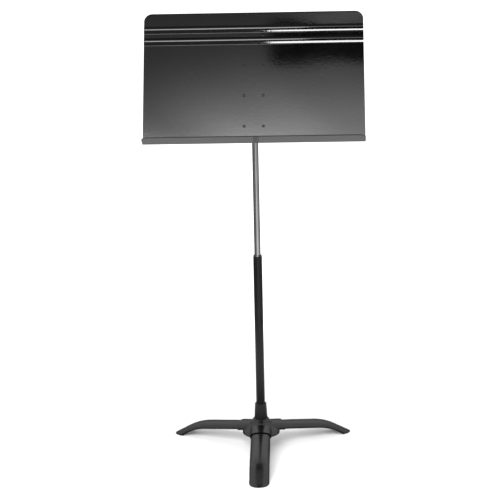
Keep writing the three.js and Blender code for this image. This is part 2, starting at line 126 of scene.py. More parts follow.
ROUNDNESS = 2.3  # the power of the superellipse that is a leg's section
GAP = 0.3 * MM
ROUND = 96  # sides of a turned piece
THROUGH = 40 * MM  # a cutter's reach past the pivot


# ---- mesh building ----
def new_object(name, vertices, faces, matrix=None):
    mesh = bpy.data.meshes.new(name)
    mesh.from_pydata([tuple(v) for v in vertices], [], faces)
    if matrix is not None:
        mesh.transform(matrix)
    bm = bmesh.new()
    bm.from_mesh(mesh)
    bmesh.ops.remove_doubles(bm, verts=bm.verts, dist=1e-7)
    bmesh.ops.recalc_face_normals(bm, faces=bm.faces)
    bm.to_mesh(mesh)
    bm.free()
    obj = bpy.data.objects.new(name, mesh)
    bpy.context.scene.collection.objects.link(obj)
    return obj


def arc_steps(start, end, steps):
    """Evenly spaced angles in radians, between two angles in degrees."""
    return [math.radians(start + (end - start) * k / steps) for k in range(steps + 1)]


def filleted(points, radius, closed=True, steps=4):
    """A polygon's points with each corner turned into a short curve, of a radius or one per corner."""
    radii = [radius] * len(points) if not isinstance(radius, (list, tuple)) else radius
    made = []
    count = len(points)
    for i, (point, size) in enumerate(zip(points, radii)):
        here = Vector(point)
        if size == 0 or (not closed and i in (0, count - 1)):
            made.append(here)
            continue
        before = Vector(points[i - 1]) - here
        after = Vector(points[(i + 1) % count]) - here
        reach = min(size, before.length * 0.45, after.length * 0.45)
        start = here + before.normalized() * reach
        end = here + after.normalized() * reach
        for k in range(steps + 1):
            t = k / steps
            made.append(start * (1 - t) ** 2 + here * 2 * t * (1 - t) + end * t * t)
    return made


def turned(name, profile, matrix=None, closed=False, sides=ROUND):
    """A lathe solid about Z from (radius, z) points, which end on the axis or close on themselves."""
    vertices, rings = [], []
    for radius, height in profile:
        if radius < 1e-9:
            rings.append([len(vertices)] * sides)
            vertices.append((0, 0, height))
            continue
        rings.append(list(range(len(vertices), len(vertices) + sides)))
        for k in range(sides):
            angle = 2 * math.pi * k / sides
            vertices.append((radius * math.cos(angle), radius * math.sin(angle), height))
    faces = []
    pairs = list(zip(rings, rings[1:] + rings[:1] if closed else rings[1:]))
    for low, high in pairs:
        for k in range(sides):
            m = (k + 1) % sides
            corners = []
            for v in (low[k], low[m], high[m], high[k]):
                if v not in corners:
                    corners.append(v)
            if len(corners) > 2:
                faces.append(corners)
    return new_object(name, vertices, faces, matrix)


def ring(name, inner, outer, low, high, matrix, edge):
    profile = filleted([(inner, low), (outer, low), (outer, high), (inner, high)], edge)
    return turned(name, profile, matrix, closed=True)


def rod(radius, low, high, matrix=None, sides=ROUND):
    """A plain cylinder along Z, to cut or trim with."""
    return turned("rod", [(0, low), (radius, low), (radius, high), (0, high)], matrix, sides=sides)


def wrapped(rows, count):
    """The faces between rows of points, each row a closed loop."""
    faces = []
    for r in range(rows - 1):
        for i in range(count):
            a, b = r * count + i, r * count + (i + 1) % count
            faces.append([a, b, b + count, a + count])
    return faces


def end_caps(rows, count):
    last = (rows - 1) * count
    return [list(range(count))[::-1], list(range(last, last + count))]


def prism(name, outline, low, high, axes=None):
    """An outline of (a, b) points made solid along c, where axes turns (a, b, c) into place."""
    count = len(outline)
    vertices = [(a, b, low) for a, b in outline] + [(a, b, high) for a, b in outline]
    return new_object(name, vertices, wrapped(2, count) + end_caps(2, count), axes)


# (a, b, c) is (y, z, x) in a side outline, and (x, z, y) in a front outline.
SIDEWAYS = Matrix(((0, 0, 1, 0), (1, 0, 0, 0), (0, 1, 0, 0), (0, 0, 0, 1)))
FRONTWAYS = Matrix(((1, 0, 0, 0), (0, 0, 1, 0), (0, 1, 0, 0), (0, 0, 0, 1)))


def grid_faces(rows, columns):
    return [
        [r * columns + c, r * columns + c + 1, (r + 1) * columns + c + 1, (r + 1) * columns + c]
        for r in range(rows - 1)
        for c in range(columns - 1)
    ]


def with_modifiers(obj):
    """Makes the modifiers' result the object's own mesh."""
    graph = bpy.context.evaluated_depsgraph_get()
    mesh = bpy.data.meshes.new_from_object(obj.evaluated_get(graph))
    obj.modifiers.clear()
    obj.data = mesh
    return obj


def combined(obj, others, operation):
    for other in others:
        modifier = obj.modifiers.new("combine", "BOOLEAN")
        modifier.operation = operation
        modifier.object = other
        modifier.solver = "EXACT"
        with_modifiers(obj)
        bpy.data.objects.remove(other)
    return obj


def bevelled(obj, width, segments=3, angle=35):
    modifier = obj.modifiers.new("edges", "BEVEL")
    modifier.width = width
    modifier.segments = segments
    modifier.limit_method = "ANGLE"
    modifier.angle_limit = math.radians(angle)
    modifier.use_clamp_overlap = True
    modifier.miter_outer = "MITER_ARC"
    return with_modifiers(obj)


def smooth(obj, angle=32):
    obj.data.shade_smooth()
    obj.data.set_sharp_from_angle(angle=math.radians(angle))
    return obj


def piece(obj, body, material, nodes=()):
    """Gives a finished mesh its finish, its body and the CAD nodes it stands for."""
    obj.data.materials.clear()
    obj.data.materials.append(material)
    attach(obj, body)
    if nodes:
        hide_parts(*nodes)
    return obj


# ---- materials ----
RAMP_SOCKETS = ("From Min", "From Max", "To Min", "To Max")


class Finish:
    """A node material round one Principled shader, with textures in the piece's own coordinates."""

    def __init__(self, name, **sockets):
        self.material = bpy.data.materials.new(name)
        self.material.use_nodes = True
        self.tree = self.material.node_tree
        self.shader = self.tree.nodes["Principled BSDF"]
        for key, value in sockets.items():
            self.shader.inputs[key.replace("_", " ")].default_value = value
        self.place = self.node("ShaderNodeTexCoord").outputs["Object"]
        self.normal = None

    def node(self, kind, **settings):
        made = self.tree.nodes.new(kind)
        for key, value in settings.items():
            setattr(made, key, value)
        return made

    def link(self, source, target):
        self.tree.links.new(source, target)

    def stretched(self, scale):
        made = self.node("ShaderNodeMapping")
        made.inputs["Scale"].default_value = scale
        self.link(self.place, made.inputs["Vector"])
        return made.outputs["Vector"]

    def local(self, matrix):
        """Coordinates in a piece's own turned frame."""
        made = self.node("ShaderNodeMapping", vector_type="TEXTURE")
        made.inputs["Location"].default_value = matrix.to_translation()
        made.inputs["Rotation"].default_value = matrix.to_euler()
        self.link(self.place, made.inputs["Vector"])
        return made.outputs["Vector"]

    def parts(self, vector):
        made = self.node("ShaderNodeSeparateXYZ")
        self.link(vector, made.inputs[0])
        return made.outputs

    def noise(self, scale, detail, roughness, vector=None):
        made = self.node("ShaderNodeTexNoise")
        made.inputs["Scale"].default_value = scale
        made.inputs["Detail"].default_value = detail
        made.inputs["Roughness"].default_value = roughness
        self.link(vector or self.place, made.inputs["Vector"])
        return made.outputs["Fac"]

    def cells(self, scale):
        made = self.node("ShaderNodeTexVoronoi")
        made.inputs["Scale"].default_value = scale
        self.link(self.place, made.inputs["Vector"])
        return made.outputs["Distance"]

    def spread(self, value, low, high, to_low=0.0, to_high=1.0):
        made = self.node("ShaderNodeMapRange")
        for key, number in zip(RAMP_SOCKETS, (low, high, to_low, to_high)):
            made.inputs[key].default_value = number
        self.link(value, made.inputs["Value"])
        return made.outputs["Result"]

    def math(self, operation, a, b):
        """Two values, each a number or a socket, put together."""
        made = self.node("ShaderNodeMath", operation=operation)
        for target, value in zip(made.inputs, (a, b)):
            if isinstance(value, (int, float)):
                target.default_value = value
            else:
                self.link(value, target)
        return made.outputs[0]

    def mixed(self, factor, first, second):
        """A colour between two colours, each a fixed one or a socket."""
        made = self.node("ShaderNodeMix", data_type="RGBA")
        self.link(factor, made.inputs["Factor"])
        for target, value in ((made.inputs[6], first), (made.inputs[7], second)):
            if isinstance(value, (tuple, list)):
                target.default_value = (*value, 1)
            else:
                self.link(value, target)
        return made.outputs[2]

    def bump(self, height, distance, strength):
        """Adds relief over the relief that the finish has already."""
        made = self.node("ShaderNodeBump")
        made.inputs["Distance"].default_value = distance
        made.inputs["Strength"].default_value = strength
        self.link(height, made.inputs["Height"])
        if self.normal is not None:
            self.link(self.normal, made.inputs["Normal"])
        self.normal = made.outputs["Normal"]

    def finished(self, colour, roughness):
        self.link(colour, self.shader.inputs["Base Color"])
        self.link(roughness, self.shader.inputs["Roughness"])
        self.link(self.normal, self.shader.inputs["Normal"])
        return self.material


def grey(level, tint=0.0):
    """A grey, made a little bluer by a tint."""
    return (level * (1 - tint), level, level * (1 + tint))


def desk_enamel():
    """Baked enamel with a fine orange peel, rubbed along the shelf, with a matt, chipped shelf lip."""
    f = Finish("desk_enamel", IOR=1.5)
    peel = f.noise(170, 1, 0.5)
    grain = f.noise(1900, 2, 0.6)
    cloud = f.noise(11, 4, 0.55)
    f.bump(peel, 0.03 * MM, 1.0)
    f.bump(grain, 0.002 * MM, 0.5)
    x, y, z = f.parts(f.local(DESK))
    on_shelf = f.spread(z, SHELF_TOP + 14 * MM, SHELF_TOP + 1 * MM)
    scratch = f.spread(f.noise(160, 4, 0.6, f.stretched((0.15, 1, 1))), 0.56, 0.70)
    rubbed = f.math("MULTIPLY", on_shelf, scratch)
    shelf_edge = PANEL_FRONT - SHELF_DEPTH
    lip = f.spread(y, shelf_edge + 2.4 * MM, shelf_edge + 1.2 * MM)
    chipped = f.math("MULTIPLY", lip, f.spread(f.noise(330, 3, 0.7), 0.66, 0.72))
    worn = f.math("MAXIMUM", f.math("MULTIPLY", rubbed, 0.12), f.math("MULTIPLY", chipped, 0.5))
    speck = f.spread(f.noise(900, 1, 0.5), 0.68, 0.76)
    paint = f.mixed(f.spread(cloud, 0.3, 0.7), grey(0.0018, 0.02), grey(0.0030, 0.03))
    paint = f.mixed(f.math("MULTIPLY", speck, 0.5), paint, grey(0.02))
    colour = f.mixed(worn, paint, grey(0.16))
    smear = f.spread(cloud, 0.3, 0.75, 0.045, 0.07)
    roughness = f.math("ADD", smear, f.math("MULTIPLY", f.math("MAXIMUM", worn, speck), 0.2))
    roughness = f.math("MAXIMUM", roughness, f.math("MULTIPLY", lip, 0.75))
    return f.finished(colour, roughness)


def base_enamel():
    """Gloss enamel on tube and pressed steel, with dust and light scuffs near the floor."""
    f = Finish("base_enamel", IOR=1.5)
    f.bump(f.noise(260, 2, 0.5), 0.09 * MM, 0.5)
    f.bump(f.noise(1500, 2, 0.6), 0.015 * MM, 0.5)
    cloud = f.noise(16, 4, 0.6)
    z = f.parts(f.place)[2]
    low = f.spread(z, 45 * MM, 4 * MM)
    scuff = f.spread(f.noise(240, 4, 0.65, f.stretched((1, 1, 0.35))), 0.60, 0.70)
    worn = f.math("MULTIPLY", low, scuff)
    paint = f.mixed(f.spread(cloud, 0.3, 0.7), grey(0.0042, 0.02), grey(0.0075, 0.02))
    colour = f.mixed(f.math("MULTIPLY", worn, 0.5), paint, grey(0.06))
    roughness = f.math(
        "ADD", f.spread(cloud, 0.3, 0.7, 0.17, 0.25), f.math("MULTIPLY", worn, 0.25)
    )
    return f.finished(colour, roughness)


def chrome():
    """Plated tube with faint drawing lines and the fine rings that the clutch leaves."""
    f = Finish("shaft_chrome", Metallic=1.0)
    drawn = f.noise(700, 3, 0.6, f.stretched((1, 1, 0.015)))
    rings = f.noise(900, 3, 0.6, f.stretched((0.03, 0.03, 1)))
    blush = f.noise(30, 3, 0.5)
    f.bump(drawn, 0.012 * MM, 0.35)
    f.bump(rings, 0.008 * MM, 0.25)
    colour = f.mixed(f.spread(blush, 0.3, 0.7), grey(0.71, 0.015), grey(0.80, 0.01))
    lines = f.math("MULTIPLY", f.spread(rings, 0.55, 0.75), 0.06)
    roughness = f.math("ADD", f.spread(blush, 0.3, 0.7, 0.09, 0.15), lines)
    return f.finished(colour, roughness)


def zinc():
    """Bright zinc plate with a faint mottled spangle."""
    f = Finish("zinc_steel", Metallic=1.0)
    spangle = f.cells(420)
    mottle = f.noise(120, 4, 0.6)
    f.bump(f.noise(1300, 3, 0.6), 0.02 * MM, 0.4)
    colour = f.mixed(f.spread(mottle, 0.3, 0.7), (0.48, 0.47, 0.44), (0.60, 0.60, 0.59))
    colour = f.mixed(f.spread(spangle, 0.0, 0.9), colour, (0.54, 0.55, 0.57))
    return f.finished(colour, f.spread(mottle, 0.3, 0.7, 0.24, 0.40))


def moulded(name, dark, light, rough):
    """Moulded plastic or rubber with a fine eroded grain."""
    f = Finish(name, IOR=1.48)
    f.bump(f.cells(1500), 0.03 * MM, 0.4)
    mottle = f.noise(90, 3, 0.6)
    colour = f.mixed(f.spread(mottle, 0.3, 0.7), grey(dark), grey(light))
    return f.finished(colour, f.spread(mottle, 0.3, 0.7, rough - 0.06, rough + 0.06))


DESK_ENAMEL = desk_enamel()
BASE_ENAMEL = base_enamel()
CHROME = chrome()
ZINC = zinc()
NYLON = moulded("nylon", 0.02, 0.03, 0.5)
RUBBER = moulded("glide_rubber", 0.018, 0.028, 0.75)


# ---- desk ----
def corner_inset(x):
    """How far a rounded corner draws the edge back at x."""
    into = abs(x) - (DESK_HALF - CORNER)
    if into <= 0:
        return 0.0
    return CORNER - math.sqrt(max(CORNER**2 - into**2, 0))


def panel_columns():
    """Places across the desk, close together in the corners' arcs."""
    arc = [DESK_HALF - CORNER + CORNER * math.sin(a) for a in arc_steps(0, 90, 14)]
    inner = arc[0]
    middle = 48
    flat = [-inner + 2 * inner * k / middle for k in range(1, middle)]
    return [-x for x in reversed(arc)] + flat + arc


def panel_profile():
    """The front face as (y, z, normal y, normal z, shelf pull, top pull) from shelf edge to top.

    A pull is how much of the corner's inset moves the point.
    """
    front = PANEL_FRONT
    bend_y, bend_z = front - CREASE, SHELF_TOP + CREASE
    rows = []
    edge = front - SHELF_DEPTH
    shelf_steps, fade = 13, 1.4
    for k in range(shelf_steps):
        t = k / shelf_steps
        y = edge + (bend_y - edge) * t
        rows.append((y, SHELF_TOP, 0, 1, max(0, 1 - t * fade), 0))
    rows.append((bend_y - NEXT, SHELF_TOP, 0, 1, 0, 0))
    for turn in arc_steps(0, 90, 8):
        y = bend_y + CREASE * math.sin(turn)
        rows.append((y, bend_z - CREASE * math.cos(turn), -math.sin(turn), math.cos(turn), 0, 0))
    last = bend_z
    for below in RIB_CRESTS_BELOW_TOP:
        crest = PANEL_TOP - below
        foot = crest - RIB_LOWER_FLANK
        steps = max(3, round((foot - last) / ROW_SPACING))
        rows.append((front, last + NEXT, -1, 0, 0, 0))
        rows += [(front, last + (foot - last) * k / steps, -1, 0, 0, 0) for k in range(1, steps)]
        rows += [(front, foot - NEXT, -1, 0, 0, 0), (front, foot, -1, 0, 0, 0)]
        for start, flank, side in ((foot, RIB_LOWER_FLANK, 1), (crest, RIB_UPPER_FLANK, -1)):
            for k in range(1, FLANK_STEPS + 1):
                t = k / FLANK_STEPS
                up = t if side > 0 else 1 - t
                turn = math.pi * up**RIB_SKEW
                rise = RIB_RISE * (1 - math.cos(turn)) / 2
                slope = side * RIB_RISE * math.pi * math.sin(turn) / (2 * flank)
                slope *= RIB_SKEW * max(up, NEAR_ZERO) ** (RIB_SKEW - 1)
                length = math.hypot(1, slope)
                rows.append((front - rise, start + flank * t, -1 / length, -slope / length, 0, 0))
        last = crest + RIB_UPPER_FLANK
    rows.append((front, last + NEXT, -1, 0, 0, 0))
    top_steps = 12
    for k in range(1, top_steps + 1):
        t = k / top_steps
        rows.append((front, last + (PANEL_TOP - last) * t, -1, 0, 0, t))
    return rows


def sheet_warp(x, z):
    """The slight waves of pressed sheet, which fade out at the crease and the top edge."""
    low_fade, high_fade = 60 * MM, 30 * MM
    fade = min(1, max(0, (z - SHELF_TOP) / low_fade), max(0, (PANEL_TOP - z) / high_fade))
    wave = 0.10 * math.sin(x * 17 + 1.0) * math.sin(z * 13 + 0.4)
    wave += 0.06 * math.sin(x * 31 + z * 22 + 2.0)
    return wave * MM * fade


def desk_panel():
    """The sheet: its front face, the same face moved back along the normals, and the rim between."""
    columns = panel_columns()
    front, back = [], []
    for y, z, ny, nz, shelf_pull, top_pull in panel_profile():
        for x in columns:
            inset = corner_inset(x)
            py = y + inset * shelf_pull
            pz = z - inset * top_pull
            if z > SHELF_TOP + CREASE:
                py += sheet_warp(x, z)
            front.append((x, py, pz))
            back.append((x, py - ny * SHEET, pz - nz * SHEET))
    wide = len(columns)
    tall = len(front) // wide
    faces = grid_faces(tall, wide)
    offset = len(front)
    faces += [[offset + v for v in reversed(f)] for f in faces[:]]
    rim = list(range(wide - 1))
    rim += [r * wide + wide - 1 for r in range(tall - 1)]
    rim += [(tall - 1) * wide + c for c in range(wide - 1, 0, -1)]
    rim += [r * wide for r in range(tall - 1, 0, -1)]
    count = len(rim)
    faces += [
        [rim[i], rim[(i + 1) % count], offset + rim[(i + 1) % count], offset + rim[i]]
        for i in range(count)
    ]
    obj = new_object("desk_sheet", front + back, faces, DESK)
    bevelled(obj, 0.5 * MM, 3, 50)
    combined(obj, rivet_seats(), "DIFFERENCE")
    return piece(smooth(obj), "desk", DESK_ENAMEL, ["desk_panel"])


def rivet_places():
    """Each rivet's node, and its place with the panel's face across Z."""
    for row, height in enumerate(RIVET_HEIGHTS):
        for side, name in ((-1, "left"), (1, "right")):
            where = Matrix.Translation((side * RIVET_SIDE, 0, SHELF_TOP + height))
            yield f"rivet_{name}_{row + 1}", DESK @ where @ Z_TO_Y


def rivets():
    """Countersunk heads nearly flush with the panel, shanks, and upset tails behind the bracket."""
    flange = PANEL_FRONT + SHEET + GAP + BRACKET_SHEET
    round_to = 80
    across = RIVET_HEAD / math.sin(math.radians(round_to))
    profile = [
        (across * math.sin(a), PANEL_FRONT - RIVET_CROWN * math.cos(a))
        for a in arc_steps(0, round_to, 8)
    ]
    profile += [(RIVET_SHANK, PANEL_FRONT + 1 * MM), (RIVET_SHANK, flange)]
    profile += [(3.1 * MM, flange + 0.1 * MM), (3.2 * MM, flange + 0.8 * MM)]
    profile += [(2.5 * MM, flange + 1.5 * MM), (0, flange + 1.7 * MM)]
    for node, place in rivet_places():
        obj = turned(f"{node}_round", profile, place, sides=40)
        piece(smooth(obj), "desk", DESK_ENAMEL, [node])


def rivet_seats():
    """Cutters for the countersunk holes that the rivets fill."""
    rim, hole = RIVET_HEAD + 0.35 * MM, RIVET_SHANK + GAP
    before, behind = PANEL_FRONT - 1 * MM, PANEL_FRONT + 4 * MM
    profile = [(0, before), (rim + 1 * MM, before), (hole, PANEL_FRONT + rim - hole)]
    profile += [(hole, behind), (0, behind)]
    return [turned("cut", profile, place, sides=40) for _, place in rivet_places()]


def desk_bracket():
    """Hat-section channel: flanges on the panel, ears at the pivot, a back web above it."""
    wall = BRACKET_HALF
    flange = 32 * MM
    low = SHELF_TOP + 18 * MM
    high = low + 250 * MM
    front = PANEL_FRONT + SHEET + GAP
    crown_back = PANEL_FRONT + SHEET + 20 * MM
    crown_from = 45 * MM
    ear = 12 * MM
    over = 1 * MM
    arc = [(ear * math.cos(a), ear * math.sin(a)) for a in arc_steps(-45, 90, 14)]
    side = [(front, low), (front + 12 * MM, low), (-4 * MM, -40 * MM), *arc]
    side += [(crown_back, crown_from - 10 * MM), (crown_back, high), (front, high)]
    radii = [0, 4 * MM, 8 * MM] + [0] * len(arc) + [6 * MM, 3 * MM, 0]
    body = prism("bracket_channel", filleted(side, radii), -wall, wall, SIDEWAYS)
    plate = [(-flange, low), (flange, low), (flange, high), (-flange, high)]
    rounded = filleted(plate, 5 * MM, steps=8)
    flanges = prism("flanges", rounded, front, front + BRACKET_SHEET, FRONTWAYS)
    inside = wall - BRACKET_SHEET
    behind = 30 * MM
    open_part = [(front - over, low - over), (behind, low - over), (behind, crown_from)]
    open_part += [(front - over, crown_from)]
    crown_inside = crown_back - BRACKET_SHEET
    closed_part = [(front - over, crown_from - over), (crown_inside, crown_from - over)]
    closed_part += [(crown_inside, high + over), (front - over, high + over)]
    cuts = [
        prism("cut", open_part, -inside, inside, SIDEWAYS),
        prism("cut", closed_part, -inside, inside, SIDEWAYS),
        rod(BOLT_HOLE, -THROUGH, THROUGH, Z_TO_X, sides=40),
    ]
    combined(body, [flanges], "UNION")
    combined(body, cuts, "DIFFERENCE")
    bevelled(body, 0.45 * MM, 3)
    body.data.transform(DESK)
    body.name = "bracket_sheet"
    return piece(smooth(body), "desk", BASE_ENAMEL, ["desk_bracket"])


def hexagon(name, across, low, high, bore, chamfer, matrix):
    """A nut or bolt head along Z, chamfered by a cone at its upper end, or lower if chamfer is -1."""
    radius = across / math.sqrt(3)
    outline = [(radius * math.cos(a), radius * math.sin(a)) for a in arc_steps(0, 300, 5)]
    obj = prism(name, outline, low, high)
    top, base = (high, low) if chamfer > 0 else (low, high)
    inward = -1 if top > base else 1
    cone = [
        (0, base - inward * 1 * MM),
        (radius * 1.2, base - inward * 1 * MM),
        (radius * 1.2, top + inward * radius * 0.42),
        (across / 2 * 0.96, top),
        (0, top),
    ]
    combined(obj, [turned("cone", cone, sides=64)], "INTERSECT")
    if bore:
        combined(obj, [rod(bore, low - MM, high + MM, sides=40)], "DIFFERENCE")
    bevelled(obj, 0.2 * MM, 2, 25)
    obj.data.transform(matrix)
    return obj


def pivot_pieces():
    """Bolt, nut and washers across the ears, and the discs that rub on the neck.

    It returns half the width that the discs leave for the neck.
    """
    across = DESK @ Z_TO_X
    washer, pitch, disc = 1.2 * MM, 0.5 * MM, 1.5 * MM
    washer_in = BRACKET_HALF + GAP
    washer_out = washer_in + washer
    spring_in = washer_out + GAP
    spring_out = spring_in + 1.6 * MM
    nut_in = spring_out + GAP
    nut_out = nut_in + 5 * MM
    head_in = washer_out + GAP
    z = BRACKET_HALF - 4 * MM
    thread = [(0, -head_in - 1 * MM), (BOLT_RADIUS, -head_in - 1 * MM), (BOLT_RADIUS, z)]
    while z < nut_out + 1.4 * MM:
        thread += [(2.65 * MM, z + pitch / 2), (BOLT_RADIUS, z + pitch)]
        z += pitch
    thread += [(2.3 * MM, nut_out + 2 * MM), (0, nut_out + 2 * MM)]
    bolt = turned("bolt_shank", thread, across, sides=48)
    piece(smooth(bolt, 45), "desk", ZINC)
    head = hexagon("bolt_head", 10 * MM, -head_in - 4 * MM, -head_in, 0, -1, across)
    piece(smooth(head), "desk", ZINC, ["pivot_bolt"])
    nut = hexagon("nut_hex", 10 * MM, nut_in, nut_out, 3.05 * MM, 1, across)
    piece(smooth(nut), "desk", ZINC, ["pivot_nut"])
    for side, low in (("left", -washer_out), ("right", washer_in)):
        obj = ring(f"washer_{side}", BOLT_HOLE, 7 * MM, low, low + washer, across, 0.25 * MM)
        piece(smooth(obj, 50), "desk", ZINC, [f"pivot_washer_{side}"])
    spring = split_washer(BOLT_HOLE, 5.4 * MM, spring_in, spring_out, across)
    piece(smooth(spring, 50), "desk", ZINC, ["spring_washer"])
    disc_in = BRACKET_HALF - BRACKET_SHEET - GAP - disc
    for side, low in (("left", -disc_in - disc), ("right", disc_in)):
        obj = ring(f"disc_{side}", BOLT_HOLE, 10 * MM, low, low + disc, NECK @ Z_TO_X, 0.3 * MM)
        piece(smooth(obj, 50), "shaft", NYLON, [f"friction_disc_{side}"])
    return disc_in - GAP


def split_washer(inner, outer, low, high, matrix):
    """One turn of square wire, a little helical, with its two ends apart."""
    section = [(inner, -0.5), (outer, -0.5), (outer, 0.5), (inner, 0.5)]
    wire = 1.3 * MM
    middle = (low + high) / 2
    rise = (high - low) - wire
    steps, gap_half = 60, 8
    vertices = []
    for k in range(steps + 1):
        angle = math.radians(gap_half + (360 - 2 * gap_half) * k / steps)
        lift = middle + rise * (k / steps - 0.5)
        for radius, height in section:
            vertices.append(
                (radius * math.cos(angle), radius * math.sin(angle), lift + height * wire)
            )
    rows = steps + 1
    faces = wrapped(rows, len(section)) + end_caps(rows, len(section))
    obj = new_object("spring_washer_split", vertices, faces)
    bevelled(obj, 0.18 * MM, 2, 50)
    obj.data.transform(matrix)
    return obj


def neck_head(half_width):
    """The pivot block: a cross boss blended into a sleeve that is crimped on the shaft."""
    radius = 11 * MM
    low = -38 * MM
    across = [(0, -half_width), (radius, -half_width), (radius, half_width), (0, half_width)]
    down = [(0, low), (radius, low), (radius, 0), (0, 0)]
    boss = turned("neck_block", filleted(across, 0.8 * MM, closed=False), Z_TO_X)
    sleeve = turned("sleeve", filleted(down, 1.5 * MM, closed=False))
    combined(boss, [sleeve], "UNION")
    cuts = [
        rod(SHAFT_HOLE, -THROUGH, -11.7 * MM),
        rod(BOLT_HOLE, -THROUGH, THROUGH, Z_TO_X, sides=40),
    ]
    dent = [(0, -4 * MM), (2.6 * MM, -1 * MM), (0, 1 * MM)]
    for angle in (90, 210, 330):
        turn = Matrix.Rotation(math.radians(angle), 4, "Z")
        where = turn @ Matrix.Translation((radius + 1.2 * MM, 0, low + 10 * MM))
        cuts.append(turned("cut", dent, where @ Z_TO_X, sides=32))
    combined(boss, cuts, "DIFFERENCE")
    bevelled(boss, 0.35 * MM, 3, 30)
    boss.data.transform(NECK)
    return piece(smooth(boss), "shaft", ZINC, ["neck_head"])


# ---- shaft, tube and clutch ----
def radius_of(node):
    low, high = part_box(node)
    return (high.x - low.x) / 2


def shaft_pieces():
    low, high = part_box("inner_shaft")
    outer = radius_of("inner_shaft")
    tube = ring("shaft_tube", outer - SHAFT_WALL, outer, low.z, high.z, AXIS, 0.35 * MM)
    piece(smooth(tube), "shaft", CHROME, ["inner_shaft"])
    low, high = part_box("shaft_guide")
    guide = IN_TUBE
    profile = [(outer + GAP, low.z), (guide - 0.8 * MM, low.z), (guide, low.z + 2 * MM)]
    for up in (8 * MM, 15 * MM, 22 * MM):
        groove = low.z + up
        profile += [(guide, groove - MM), (guide - 0.6 * MM, groove - 0.5 * MM)]
        profile += [(guide - 0.6 * MM, groove + 0.5 * MM), (guide, groove + MM)]
    profile += [(guide, high.z - 2 * MM), (guide - 0.8 * MM, high.z), (outer + GAP, high.z)]
    bush = turned("guide_bush", filleted(profile, 0.25 * MM), AXIS, closed=True)
    piece(smooth(bush), "guide", NYLON, ["shaft_guide"])
    low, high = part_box("shaft_plug")
    flange = low.z + 3 * MM
    spigot = outer - SHAFT_WALL - GAP
    profile = [(0, low.z + 0.6 * MM), (3 * MM, low.z + 0.6 * MM), (3.4 * MM, low.z)]
    profile += [(8.2 * MM, low.z), (8.6 * MM, low.z + 0.5 * MM), (8.6 * MM, flange)]
    profile += [(spigot, flange), (spigot, high.z - 1 * MM), (spigot - MM, high.z), (0, high.z)]
    plug = turned("end_plug", filleted(profile, 0.25 * MM, closed=False), AXIS)
    piece(smooth(plug), "shaft", NYLON, ["shaft_plug"])


def tube_pieces():
    low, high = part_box("outer_tube")
    outer = radius_of("outer_tube")
    tube = ring("tube_black", outer - TUBE_WALL, outer, low.z, high.z, AXIS, 0.3 * MM)
    piece(smooth(tube), "base", BASE_ENAMEL, ["outer_tube"])
    low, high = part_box("clutch_cap")
    bore = SHAFT_HOLE
    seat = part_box("outer_tube")[1].z + 0.05 * MM
    profile = [(bore, low.z), (IN_TUBE, low.z), (IN_TUBE, seat), (outer, seat)]
    lip, tall = bore + 0.3 * MM, min(6.5 * MM, high.z - seat - 0.5 * MM)
    dome = [
        (lip + (outer - lip) * math.cos(a), high.z - tall + tall * math.sin(a))
        for a in arc_steps(0, 86, 16)
    ]
    profile += [*dome, (bore, high.z)]
    rounding = [0.2 * MM, 0.2 * MM, 0, 0.25 * MM] + [0] * len(dome) + [0.15 * MM]
    cap = turned("clutch_shoulder", filleted(profile, rounding, steps=8), AXIS, closed=True)
    piece(smooth(cap), "base", BASE_ENAMEL, ["clutch_cap"])
    low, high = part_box("clutch_collet")
    collet = ring("collet_sleeve", bore, IN_TUBE, low.z, high.z, None, 0.4 * MM)
    half, past = 0.8 * MM, IN_TUBE + 3 * MM
    slot = [(-half, 0), (half, 0), (half, past), (-half, past)]
    combined(collet, [prism("cut", slot, low.z - MM, high.z + MM)], "DIFFERENCE")
    collet.data.transform(AXIS)
    piece(smooth(collet), "base", NYLON, ["clutch_collet"])


# ---- base ----
def arch(half, ridge, edge, steps=40):
    """Half a superellipse as (side, drop), from one lower edge over the ridge to the other."""
    power = 2 / ROUNDNESS
    made = []
    for k in range(steps + 1):
        turn = math.pi * k / steps
        side = math.copysign(abs(math.cos(turn)) ** power, math.cos(turn))
        made.append((half * side, edge - (edge - ridge) * abs(math.sin(turn)) ** power))
    return made


def ridge_height(out):
    return LEG_START_HEIGHT - (out - LEG_START) * math.tan(LEG_SLOPE)


def straight_ridge(start, end, steps=1):
    """(out, up, slope) along the straight part of a leg's ridge."""
    places = [start + (end - start) * k / steps for k in range(steps + 1)]
    return [(out, ridge_height(out), LEG_SLOPE) for out in places]


def whole_ridge():
    """The straight part, then the bend."""
    made = straight_ridge(LEG_START, BEND_FROM, 10)[:-1]
    radius = (BEND_TO - BEND_FROM) / (math.sin(FOOT_SLOPE) - math.sin(LEG_SLOPE))
    bend = 24
    for k in range(bend + 1):
        slope = LEG_SLOPE + (FOOT_SLOPE - LEG_SLOPE) * k / bend
        out = BEND_FROM + radius * (math.sin(slope) - math.sin(LEG_SLOPE))
        fall = radius * (math.cos(LEG_SLOPE) - math.cos(slope))
        made.append((out, ridge_height(BEND_FROM) - fall, slope))
    return made


def along(stations, outline):
    """A (side, drop) outline's points, set square to the ridge at each station."""
    return [
        (out - drop * math.sin(slope), side, up - drop * math.cos(slope))
        for out, up, slope in stations
        for side, drop in outline
    ]


